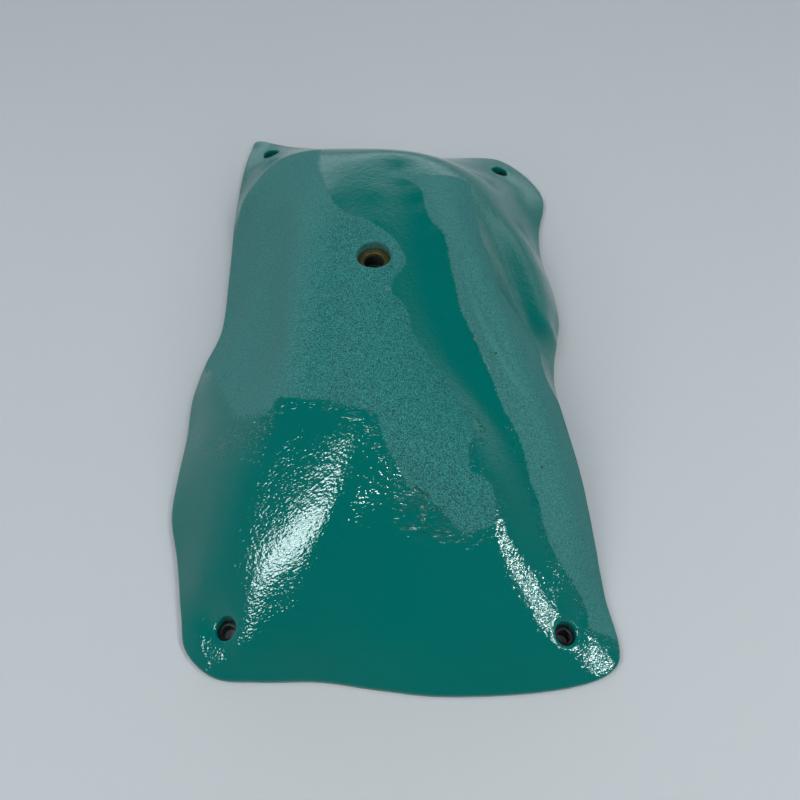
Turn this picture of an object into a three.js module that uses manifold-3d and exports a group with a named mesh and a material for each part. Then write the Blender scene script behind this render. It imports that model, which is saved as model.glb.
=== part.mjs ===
// Fibreglass climbing hold: a thin draped shell, open behind, with a resin pillar under its one
// bolt and a resin block cast round each of its four screw cups.
// Millimetres. The back lies on the wall plane z = 0, +Z points away from the wall, +Y is the
// high end of the hold, and the origin is the middle of the footprint.
import * as THREE from 'three';
import { mergeVertices, toCreasedNormals } from 'three/addons/utils/BufferGeometryUtils.js';
import Module from 'manifold-3d';

// Overall sizes of the shell
const bodyWidth = 239;
const bodyLength = 390;
const crownHeight = 80;
const rimHeight = 4;
const wall = 5;
const rimWidth = 6;

// Recessed hole for the M10 bolt, seen on the crown
const boltAcross = -7;
const boltAlong = 24;
const boltRecessDiameter = 18.8;
const boltRecessDepth = 7.2;
const boltBore = 11.6;
const mouthChamfer = 1.6;

// Boss that hangs from the shell under the bolt recess
const bossDiameter = 34;
const bossDraft = 4;
const bossFloor = 8;

// Pillar between the boss and the wall
const pillarDiameter = 27;
const pillarHeadHeight = 6;
const pillarFootDiameter = 46;
const pillarFootHeight = 5;
const pillarFillet = 8;

// Washer on the floor of the bolt recess
const boltWasherThickness = 2;

// Corner screws: recess, bore, washer, the cup moulded round the recess, and the block round that
const screwRecessDiameter = 10.6;
const screwRecessDepth = 7;
const screwBore = 6.6;
const screwWasherThickness = 1.2;
const cupWall = 1.8;
const cupFloor = 2;
const blockDiameter = 36;

// How far the drape may ease off its folds
const ease = 0.00002;

// Clearances
const fitGap = 0.3;
const cutOverrun = 3;

// Facets: cells of the draped surfaces and sides of the round pieces
const shellCellsAcross = 34;
const shellCellsAlong = 54;
const cavityCellsAcross = 22;
const cavityCellsAlong = 34;
const curveSteps = 8;
const foldSteps = 2;
const boltSides = 40;
const screwSides = 28;
const filletSteps = 5;
const creaseAngle = Math.PI / 6;

// Outline of the foot, clockwise from the left end of the high edge, as shares of half the width
// and half the length
const outlineShares = [
  [-0.80, 1.00], [-0.61, 0.97], [-0.36, 0.955], [-0.06, 0.935], [0.30, 0.91], [0.58, 0.91],
  [0.71, 0.88], [0.84, 0.79], [0.90, 0.69], [0.855, 0.55], [0.85, 0.42], [0.89, 0.29],
  [0.905, 0.16], [0.865, 0.03], [0.845, -0.08], [0.87, -0.19], [0.92, -0.38], [0.945, -0.57],
  [0.96, -0.74], [0.995, -0.88], [0.95, -0.94], [0.80, -0.975], [0.55, -0.995], [0.23, -1.00],
  [-0.02, -0.985], [-0.27, -0.965], [-0.52, -0.965], [-0.71, -0.955], [-0.84, -0.89],
  [-0.88, -0.80], [-0.93, -0.65], [-0.985, -0.52], [-0.985, -0.40], [-0.97, -0.26],
  [-0.97, -0.13], [-0.93, 0.00], [-0.87, 0.13], [-0.87, 0.36], [-0.88, 0.60], [-0.87, 0.82],
  [-0.84, 0.95],
];

// Steps along those points to the four corners: high left, high right, low right, low left
const cornerSteps = [0, 7, 20, 28];

// Folds and faces of the drape, each a curve through points given as shares of half the width,
// half the length and the crown height. The surface is the thin plate bent over all of them.
const reliefShares = {
  crown: [
    [-0.05, 0.56, 0.87], [-0.06, 0.38, 0.95], [-0.06, 0.12, 0.995], [-0.07, -0.10, 0.995],
    [-0.05, -0.30, 0.98],
  ],
  crownLeft: [[-0.30, 0.45, 0.86], [-0.28, 0.15, 0.91], [-0.28, -0.12, 0.91], [-0.25, -0.32, 0.89]],
  shoulder: [
    [-0.46, 0.55, 0.70], [-0.475, 0.38, 0.765], [-0.465, 0.21, 0.805], [-0.45, 0.05, 0.83],
    [-0.44, -0.08, 0.85], [-0.45, -0.20, 0.84], [-0.475, -0.31, 0.795], [-0.55, -0.40, 0.69],
    [-0.63, -0.49, 0.58], [-0.70, -0.61, 0.44], [-0.77, -0.74, 0.26],
  ],
  flankValley: [
    [-0.56, 0.36, 0.60], [-0.55, 0.20, 0.61], [-0.54, 0.05, 0.62], [-0.54, -0.08, 0.64],
    [-0.56, -0.20, 0.66],
  ],
  leftFold: [[-0.70, 0.52, 0.42], [-0.65, 0.33, 0.49], [-0.62, 0.12, 0.52], [-0.64, -0.05, 0.51]],
  leftSkirt: [[-0.80, -0.10, 0.34], [-0.83, -0.30, 0.32], [-0.86, -0.50, 0.24]],
  leftValley: [
    [-0.20, -0.37, 0.89], [-0.35, -0.45, 0.775], [-0.48, -0.56, 0.63], [-0.58, -0.68, 0.46],
    [-0.65, -0.79, 0.28],
  ],
  leftRidge: [
    [-0.01, -0.41, 0.945], [-0.12, -0.53, 0.815], [-0.22, -0.64, 0.665], [-0.32, -0.73, 0.525],
    [-0.43, -0.80, 0.40], [-0.56, -0.87, 0.26], [-0.67, -0.91, 0.15],
  ],
  brow: [[0.07, -0.47, 0.90], [0.18, -0.54, 0.81], [0.30, -0.60, 0.73]],
  faceMiddle: [[0.00, -0.60, 0.70], [0.02, -0.75, 0.47], [0.04, -0.885, 0.27]],
  faceLeft: [[-0.24, -0.81, 0.40], [-0.32, -0.90, 0.23]],
  faceRight: [[0.30, -0.79, 0.42], [0.36, -0.89, 0.26], [0.60, -0.92, 0.17]],
  rightRidge: [
    [0.33, -0.42, 0.86], [0.41, -0.51, 0.785], [0.485, -0.61, 0.67], [0.55, -0.70, 0.53],
    [0.65, -0.785, 0.365], [0.76, -0.85, 0.23], [0.86, -0.90, 0.12],
  ],
  groove: [
    [0.10, 0.42, 0.91], [0.22, 0.25, 0.94], [0.32, 0.05, 0.90], [0.40, -0.13, 0.83],
    [0.50, -0.29, 0.735], [0.60, -0.45, 0.61], [0.68, -0.60, 0.47], [0.76, -0.72, 0.31],
    [0.83, -0.80, 0.18],
  ],
  longFold: [
    [0.06, 0.50, 0.88], [0.20, 0.39, 0.96], [0.30, 0.25, 0.99], [0.415, 0.08, 0.98],
    [0.49, -0.09, 0.93], [0.58, -0.22, 0.84], [0.685, -0.32, 0.70], [0.76, -0.43, 0.55],
    [0.83, -0.58, 0.37], [0.885, -0.72, 0.21],
  ],
  sideHollow: [
    [0.42, 0.40, 0.82], [0.52, 0.28, 0.70], [0.60, 0.14, 0.57], [0.68, 0.02, 0.45],
    [0.76, -0.10, 0.34],
  ],
  farCrest: [
    [-0.81, 0.60, 0.27], [-0.66, 0.71, 0.42], [-0.46, 0.70, 0.60], [-0.22, 0.63, 0.77],
    [0.02, 0.60, 0.83], [0.27, 0.58, 0.80], [0.48, 0.55, 0.66], [0.64, 0.47, 0.48],
    [0.76, 0.36, 0.36], [0.83, 0.20, 0.28], [0.84, 0.06, 0.24],
  ],
  farFace: [[-0.40, 0.80, 0.38], [-0.10, 0.77, 0.44], [0.20, 0.745, 0.44], [0.44, 0.70, 0.40]],
  farFoot: [[-0.40, 0.895, 0.18], [0.00, 0.875, 0.18], [0.36, 0.855, 0.16]],
  highLeftPad: [[-0.78, 0.78, 0.18], [-0.70, 0.885, 0.17]],
  highRightPad: [[0.645, 0.795, 0.17], [0.76, 0.66, 0.19]],
  lowLeftPad: [[-0.66, -0.845, 0.19], [-0.74, -0.82, 0.16]],
};

// Corner screws, as shares of half the width and half the length
const screwShares = {
  low_left: [-0.66, -0.845],
  low_right: [0.75, -0.86],
  high_left: [-0.70, 0.885],
  high_right: [0.645, 0.795],
};

const wasm = await Module();
wasm.setup();

// Solids for joining and cutting

function solidOf(geometry) {
  const bare = geometry.clone();
  bare.deleteAttribute('normal');
  bare.deleteAttribute('uv');
  const merged = mergeVertices(bare);
  const vertProperties = new Float32Array(merged.attributes.position.array);
  const triVerts = new Uint32Array(merged.index.array);
  return new wasm.Manifold(new wasm.Mesh({ numProp: 3, vertProperties, triVerts }));
}

function geometryOf(solid) {
  const mesh = solid.getMesh();
  const geometry = new THREE.BufferGeometry();
  geometry.setAttribute('position', new THREE.BufferAttribute(mesh.vertProperties, 3));
  geometry.setIndex(new THREE.BufferAttribute(mesh.triVerts, 1));
  return toCreasedNormals(geometry, creaseAngle);
}

// A profile of [radius, height] points turned about +Z
function turned(profile, sides) {
  const points = profile.map(([radius, height]) => new THREE.Vector2(radius, height));
  return new THREE.LatheGeometry(points, sides).rotateX(Math.PI / 2);
}

// Outline of the foot

function footLoop() {
  const low = new THREE.Vector2(Infinity, Infinity);
  const high = new THREE.Vector2(-Infinity, -Infinity);
  const knots = outlineShares.map(([across, along]) => new THREE.Vector3(across, along, 0));
  const curve = new THREE.CatmullRomCurve3(knots, true, 'catmullrom');
  const loop = curve.getPoints(knots.length * curveSteps).slice(0, -1);
  const flat = loop.map((point) => new THREE.Vector2(point.x, point.y));
  for (const point of flat) {
    low.min(point);
    high.max(point);
  }
  return { flat, middle: low.clone().add(high).multiplyScalar(1 / 2), span: high.clone().sub(low) };
}

const foot = footLoop();

// A share of half the width and half the length, brought to its place on the hold
function placeOf(across, along) {
  return new THREE.Vector2(
    ((across - foot.middle.x) * bodyWidth) / foot.span.x,
    ((along - foot.middle.y) * bodyLength) / foot.span.y,
  );
}

const footOutline = foot.flat.map((point) => placeOf(point.x, point.y));

// The clockwise outline drawn in by a distance
function drawnIn(outline, distance) {
  return outline.map((point, index) => {
    const before = outline.at(index - 1);
    const after = outline[(index + 1) % outline.length];
    const along = after.clone().sub(before).normalize();
    return new THREE.Vector2(point.x + along.y * distance, point.y - along.x * distance);
  });
}

// The drape: a thin plate bent through the folds and the rim

function plateKernel(squared) {
  return squared > 0 ? squared * Math.log(squared) : 0;
}

function solveLinear(rows) {
  const size = rows.length;
  for (let column = 0; column < size; column += 1) {
    let pivot = column;
    for (let row = column + 1; row < size; row += 1) {
      if (Math.abs(rows[row][column]) > Math.abs(rows[pivot][column])) pivot = row;
    }
    [rows[column], rows[pivot]] = [rows[pivot], rows[column]];
    for (let row = column + 1; row < size; row += 1) {
      const factor = rows[row][column] / rows[column][column];
      for (let k = column; k <= size; k += 1) rows[row][k] -= factor * rows[column][k];
    }
  }
  const answer = new Array(size).fill(0);
  for (let row = size - 1; row >= 0; row -= 1) {
    let sum = rows[row][size];
    for (let k = row + 1; k < size; k += 1) sum -= rows[row][k] * answer[k];
    answer[row] = sum / rows[row][row];
  }
  return answer;
}

function bendDrape() {
  const folds = Object.values(reliefShares).flatMap((points) => {
    const knots = points.map(([across, along, height]) => new THREE.Vector3(across, along, height));
    const curve = new THREE.CatmullRomCurve3(knots, false, 'catmullrom');
    return curve.getPoints((knots.length - 1) * foldSteps).map((point) => {
      const place = placeOf(point.x, point.y).divideScalar(bodyLength);
      return [place.x, place.y, point.z];
    });
  });
  const rimStep = curveSteps / 2;
  const rim = footOutline
    .filter((point, index) => index % rimStep === 0)
    .map((point) => [point.x / bodyLength, point.y / bodyLength, rimHeight / crownHeight]);
  const held = [...folds, ...rim];
  const count = held.length;
  const rows = held.map(([x, y, height], row) => [
    ...held.map(([a, b], k) => plateKernel((x - a) ** 2 + (y - b) ** 2) + (k === row ? ease : 0)),
    1, x, y, height,
  ]);
  rows.push([...held.map(() => 1), 0, 0, 0, 0]);
  rows.push([...held.map(([x]) => x), 0, 0, 0, 0]);
  rows.push([...held.map(([, y]) => y), 0, 0, 0, 0]);
  const weights = solveLinear(rows);
  return { held, weights: weights.slice(0, count), plane: weights.slice(count) };
}

const drape = bendDrape();

// Height of the drape over a place, and how steeply it climbs there
function drapeAt(point) {
  const x = point.x / bodyLength;
  const y = point.y / bodyLength;
  let height = drape.plane[0] + drape.plane[1] * x + drape.plane[2] * y;
  let climbX = drape.plane[1];
  let climbY = drape.plane[2];
  drape.held.forEach(([a, b], index) => {
    const squared = (x - a) ** 2 + (y - b) ** 2;
    const weight = drape.weights[index];
    height += weight * plateKernel(squared);
    if (squared > 0) {
      const turn = 2 * weight * (Math.log(squared) + 1);
      climbX += turn * (x - a);
      climbY += turn * (y - b);
    }
  });
  return { height: height * crownHeight, climb: Math.hypot(climbX, climbY) * (crownHeight / bodyLength) };
}

// The drape set back by a thickness, measured square to it
function setBack(thickness) {
  return (point) => {
    const { height, climb } = drapeAt(point);
    return height - thickness * Math.hypot(1, climb);
  };
}

// Closed bodies under a draped surface

function stretchOf(loop, from, to) {
  const start = cornerSteps[from] * curveSteps;
  const end = cornerSteps[to] * curveSteps;
  const steps = (end - start + loop.length) % loop.length;
  return Array.from({ length: steps + 1 }, (_, step) => loop[(start + step) % loop.length]);
}

function evenlySpaced(line, cells) {
  const lengths = [0];
  for (let i = 1; i < line.length; i += 1) {
    lengths.push(lengths[i - 1] + line[i].distanceTo(line[i - 1]));
  }
  const points = [];
  let piece = 1;
  for (let cell = 0; cell <= cells; cell += 1) {
    const target = (lengths.at(-1) * cell) / cells;
    while (piece < line.length - 1 && lengths[piece] < target) piece += 1;
    const share = (target - lengths[piece - 1]) / (lengths[piece] - lengths[piece - 1]);
    points.push(line[piece - 1].clone().lerp(line[piece], share));
  }
  return points;
}

// A grid of places that fills a loop, its rows running from the low edge to the high one
function coonsGrid(loop, across, along) {
  const north = evenlySpaced(stretchOf(loop, 0, 1), across);
  const east = evenlySpaced(stretchOf(loop, 1, 2), along).reverse();
  const south = evenlySpaced(stretchOf(loop, 2, 3), across).reverse();
  const west = evenlySpaced(stretchOf(loop, 3, 0), along);
  const rows = [];
  for (let j = 0; j <= along; j += 1) {
    const v = j / along;
    const row = [];
    for (let i = 0; i <= across; i += 1) {
      const u = i / across;
      const sides = west[j].clone().lerp(east[j], u).add(south[i].clone().lerp(north[i], v));
      const lowPair = south[0].clone().lerp(south[across], u);
      const highPair = north[0].clone().lerp(north[across], u);
      row.push(sides.sub(lowPair.lerp(highPair, v)));
    }
    rows.push(row);
  }
  return rows;
}

function drapedBody(loop, across, along, heightAt, floor) {
  const rows = coonsGrid(loop, across, along);
  const top = rows.flat().map((place) => new THREE.Vector3(place.x, place.y, heightAt(place)));
  const at = (i, j) => j * (across + 1) + i;
  const faces = [];
  for (let j = 0; j < along; j += 1) {
    for (let i = 0; i < across; i += 1) {
      const [a, b, c, d] = [at(i, j), at(i + 1, j), at(i + 1, j + 1), at(i, j + 1)];
      const longer = top[a].distanceTo(top[c]) > top[b].distanceTo(top[d]);
      faces.push(...(longer ? [a, b, d, b, c, d] : [a, b, c, a, c, d]));
    }
  }
  const rim = [];
  for (let i = 0; i < across; i += 1) rim.push(at(i, 0));
  for (let j = 0; j < along; j += 1) rim.push(at(across, j));
  for (let i = across; i > 0; i -= 1) rim.push(at(i, along));
  for (let j = along; j > 0; j -= 1) rim.push(at(0, j));
  const base = rim.map((index) => new THREE.Vector3(top[index].x, top[index].y, floor));
  rim.forEach((index, k) => {
    const next = (k + 1) % rim.length;
    const [lowHere, lowNext] = [top.length + k, top.length + next];
    faces.push(lowHere, lowNext, rim[next], lowHere, rim[next], index);
  });
  const contour = base.map((point) => new THREE.Vector2(point.x, point.y));
  for (const [a, b, c] of THREE.ShapeUtils.triangulateShape(contour, [])) {
    const turn = THREE.ShapeUtils.area([contour[a], contour[b], contour[c]]);
    const facingDown = turn > 0 ? [c, b, a] : [a, b, c];
    faces.push(...facingDown.map((index) => index + top.length));
  }
  const geometry = new THREE.BufferGeometry().setFromPoints([...top, ...base]);
  geometry.setIndex(faces);
  return geometry;
}

// Places of the fixings and the levels of their seats

const boltPlace = new THREE.Vector2(boltAcross, boltAlong);
const boltWasherTop = drapeAt(boltPlace).height - boltRecessDepth;
const boltSeat = boltWasherTop - boltWasherThickness;
const bossLevel = boltSeat - bossFloor;

const screws = Object.entries(screwShares).map(([corner, shares]) => {
  const place = placeOf(...shares);
  const mouth = drapeAt(place).height;
  const washerTop = mouth - screwRecessDepth;
  return { corner, place, mouth, washerTop, seat: washerTop - screwWasherThickness };
});

// Cutters

const boltRecess = solidOf(turned([
  [0, boltSeat],
  [boltRecessDiameter / 2, boltSeat],
  [boltRecessDiameter / 2, drapeAt(boltPlace).height - mouthChamfer],
  [boltRecessDiameter / 2 + mouthChamfer + cutOverrun, drapeAt(boltPlace).height + cutOverrun],
  [0, drapeAt(boltPlace).height + cutOverrun],
], boltSides).translate(boltPlace.x, boltPlace.y, 0));

const boltWay = solidOf(turned([
  [0, -cutOverrun],
  [boltBore / 2, -cutOverrun],
  [boltBore / 2, crownHeight],
  [0, crownHeight],
], boltSides).translate(boltPlace.x, boltPlace.y, 0));

function screwCutter({ place, mouth, seat }) {
  const above = mouth + screwRecessDiameter;
  return solidOf(turned([
    [0, -cutOverrun],
    [screwBore / 2, -cutOverrun],
    [screwBore / 2, seat],
    [screwRecessDiameter / 2, seat],
    [screwRecessDiameter / 2, above],
    [0, above],
  ], screwSides).translate(place.x, place.y, 0));
}

// The outside of the cup round a screw recess, larger by a clearance for the block's hole
function screwCup({ place, mouth, seat }, clearance) {
  const radius = screwRecessDiameter / 2 + cupWall + clearance;
  return solidOf(turned([
    [0, seat - cupFloor - clearance],
    [radius, seat - cupFloor - clearance],
    [radius, mouth + screwRecessDiameter],
    [0, mouth + screwRecessDiameter],
  ], screwSides).translate(place.x, place.y, 0));
}

// Shell: the drape less its hollow, with the bolt boss and the screw cups hanging inside

function makeShell() {
  const outer = solidOf(
    drapedBody(footOutline, shellCellsAcross, shellCellsAlong, setBack(0), 0),
  );
  const hollow = solidOf(drapedBody(
    drawnIn(footOutline, rimWidth), cavityCellsAcross, cavityCellsAlong, setBack(wall), -cutOverrun,
  ));
  const boss = solidOf(turned([
    [0, bossLevel],
    [bossDiameter / 2, bossLevel],
    [bossDiameter / 2 + bossDraft, crownHeight],
    [0, crownHeight],
  ], boltSides).translate(boltPlace.x, boltPlace.y, 0));
  let shell = outer.subtract(hollow).add(boss.intersect(outer)).subtract(boltRecess).subtract(boltWay);
  for (const screw of screws) {
    shell = shell.add(screwCup(screw, 0).intersect(outer)).subtract(screwCutter(screw));
  }
  return geometryOf(shell);
}

// Bolt pillar: a bored column with a wide foot on the wall and a head under the boss

function makePillar() {
  const bore = boltBore / 2;
  const column = pillarDiameter / 2;
  const head = bossDiameter / 2;
  const top = bossLevel - fitGap;
  const fillet = Array.from({ length: filletSteps + 1 }, (_, step) => {
    const angle = ((Math.PI / 2) * step) / filletSteps;
    return [
      column + pillarFillet * (1 - Math.sin(angle)),
      pillarFootHeight + pillarFillet * (1 - Math.cos(angle)),
    ];
  });
  return turned([
    [bore, 0],
    [pillarFootDiameter / 2, 0],
    [pillarFootDiameter / 2, pillarFootHeight],
    ...fillet,
    [column, top - pillarHeadHeight - (head - column)],
    [head, top - pillarHeadHeight],
    [head, top],
    [bore, top],
    [bore, 0],
  ], boltSides);
}

// Washers: flat rings that lie on the floors of the recesses

function makeWasher(outside, bore, thickness, sides) {
  return turned([
    [bore / 2, 0],
    [outside / 2, 0],
    [outside / 2, thickness],
    [bore / 2, thickness],
    [bore / 2, 0],
  ], sides);
}

// Corner block: a puck cast against the inside of the shell, round the cup and the screw's bore

const blockMould = solidOf(drapedBody(
  drawnIn(footOutline, rimWidth + fitGap), cavityCellsAcross, cavityCellsAlong,
  setBack(wall + fitGap), 0,
));

function makeBlock(screw) {
  const puck = solidOf(turned([
    [0, -cutOverrun],
    [blockDiameter / 2, -cutOverrun],
    [blockDiameter / 2, crownHeight],
    [0, crownHeight],
  ], boltSides).translate(screw.place.x, screw.place.y, 0));
  const block = puck.intersect(blockMould).subtract(screwCup(screw, fitGap));
  return geometryOf(block.subtract(screwCutter(screw)));
}

// Materials

const gelcoat = { color: 0x0d7468, roughness: 0.35, metalness: 0 };
const castResin = { color: 0xb39a6a, roughness: 0.6, metalness: 0 };
const yellowZinc = { color: 0xb49b4a, roughness: 0.35, metalness: 1 };
const greyZinc = { color: 0x5b5c60, roughness: 0.5, metalness: 1 };

function piece(name, geometry, finish) {
  const mesh = new THREE.Mesh(geometry, new THREE.MeshStandardMaterial(finish));
  mesh.name = name;
  return mesh;
}

// The hold

const hold = new THREE.Group();
hold.add(piece('shell', makeShell(), gelcoat));

const pillar = piece('bolt_pillar', makePillar(), castResin);
pillar.position.set(boltPlace.x, boltPlace.y, 0);
hold.add(pillar);

const boltWasher = piece(
  'bolt_washer',
  makeWasher(boltRecessDiameter - 2 * fitGap, boltBore, boltWasherThickness, boltSides),
  yellowZinc,
);
boltWasher.position.set(boltPlace.x, boltPlace.y, boltSeat);
hold.add(boltWasher);

for (const screw of screws) {
  const washer = piece(
    `screw_washer_${screw.corner}`,
    makeWasher(screwRecessDiameter - 2 * fitGap, screwBore, screwWasherThickness, screwSides),
    greyZinc,
  );
  washer.position.set(screw.place.x, screw.place.y, screw.seat);
  hold.add(washer);
  hold.add(piece(`corner_block_${screw.corner}`, makeBlock(screw), castResin));
}

export default hold;
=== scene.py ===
import math

import bmesh
import bpy
import numpy as np
from mathutils import Matrix, Vector


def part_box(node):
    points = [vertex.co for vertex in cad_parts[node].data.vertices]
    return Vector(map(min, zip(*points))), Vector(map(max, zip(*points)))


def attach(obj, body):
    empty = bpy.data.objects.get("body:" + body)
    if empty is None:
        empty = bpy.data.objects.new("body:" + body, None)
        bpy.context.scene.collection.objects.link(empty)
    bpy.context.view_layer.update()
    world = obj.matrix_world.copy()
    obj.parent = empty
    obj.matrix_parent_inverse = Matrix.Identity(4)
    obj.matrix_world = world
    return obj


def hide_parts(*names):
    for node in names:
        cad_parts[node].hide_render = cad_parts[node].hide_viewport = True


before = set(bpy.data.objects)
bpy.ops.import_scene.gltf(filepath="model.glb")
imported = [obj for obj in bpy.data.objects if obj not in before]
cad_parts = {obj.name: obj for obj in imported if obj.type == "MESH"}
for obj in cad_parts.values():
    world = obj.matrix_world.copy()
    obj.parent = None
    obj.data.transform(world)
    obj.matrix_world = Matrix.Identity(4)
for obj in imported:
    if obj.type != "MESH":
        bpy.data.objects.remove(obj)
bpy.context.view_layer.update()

# Sizes in metres. The back lies on the wall plane z = 0, +Z points away from the wall, and +Y is
# the high end of the hold.
MM = 0.001
BODY_WIDTH = 239 * MM
BODY_LENGTH = 390 * MM
CROWN_HEIGHT = 80 * MM
RIM_HEIGHT = 4 * MM
RIM_WIDTH = 6 * MM
RIM_ROUND = 0.9 * MM
RIM_CHAMFER = 0.5 * MM
WALL = 5 * MM
FIT_GAP = 0.3 * MM
BORE_STEP = 0.4 * MM

# Bolt hole and the boss under it
BOLT_RECESS = 18.8 * MM
BOLT_BORE = 11.6 * MM
BOLT_LIP = 2.2 * MM
BOSS_DIAMETER = 34 * MM
BOSS_DRAFT = 4 * MM
BOSS_FILLET = 3 * MM

# Corner screws, and the cups and blocks round them
SCREW_RECESS = 10.6 * MM
SCREW_BORE = 6.6 * MM
SCREW_LIP = 2.3 * MM
CUP_WALL = 1.8 * MM
CUP_FLOOR = 2 * MM
BLOCK_DIAMETER = 36 * MM
CORNERS = ("low_left", "low_right", "high_left", "high_right")

# Cells of the draped faces
OUTER_CELLS = (188, 306)
INNER_CELLS = (104, 164)
CURVE_STEPS = 24
RIM_KNOT_STEPS = 12
EXTENT_STEPS = 3

# Counts of rings and sides, and how many cells a redrawn block reaches past its hole
LIP_RINGS = 5
FILLET_RINGS = 4
RIM_RINGS = 4
BOLT_WALL_RINGS = 7
SCREW_WALL_RINGS = 4
TURNED_SIDES = 96
OUTER_MARGIN = 3.2
INNER_MARGIN = 1.2
RAY_EASE = 1.3

# How far the drape may ease off its folds, and how many places are read at once
EASE = 0.00002
ROWS_AT_ONCE = 8192

# Marks for the gelcoat: how far inside the grip a place counts as, in millimetres, how far down a
# hole it lies, which sets the painted shade there, and how strongly the grip's grains get painted
# shade and sheen on a hole's lip and wall
GRIP_LIMIT = 8
BOLT_WALL_GRIP = 6
SCREW_WALL_GRIP = -GRIP_LIMIT
BOLT_SEAT_DEPTH = 1
SCREW_SEAT_DEPTH = 0.6
BORE_DEPTH = 2
LIP_GRAIN_SHADING = 0.6
HOLE_GRAIN_SHADING = 0.5

# Outline of the foot, clockwise from the left end of the high edge, as shares of half the width
# and half the length
OUTLINE = [
    (-0.80, 1.00), (-0.61, 0.97), (-0.36, 0.955), (-0.06, 0.935), (0.30, 0.91), (0.58, 0.91),
    (0.71, 0.88), (0.84, 0.79), (0.90, 0.69), (0.855, 0.55), (0.85, 0.42), (0.89, 0.29),
    (0.905, 0.16), (0.865, 0.03), (0.845, -0.08), (0.87, -0.19), (0.92, -0.38), (0.945, -0.57),
    (0.96, -0.74), (0.995, -0.88), (0.95, -0.94), (0.80, -0.975), (0.55, -0.995), (0.23, -1.00),
    (-0.02, -0.985), (-0.27, -0.965), (-0.52, -0.965), (-0.71, -0.955), (-0.84, -0.89),
    (-0.88, -0.80), (-0.93, -0.65), (-0.985, -0.52), (-0.985, -0.40), (-0.97, -0.26),
    (-0.97, -0.13), (-0.93, 0.00), (-0.87, 0.13), (-0.87, 0.36), (-0.88, 0.60), (-0.87, 0.82),
    (-0.84, 0.95),
]
OUTLINE_CORNERS = (0, 7, 20, 28)

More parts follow.
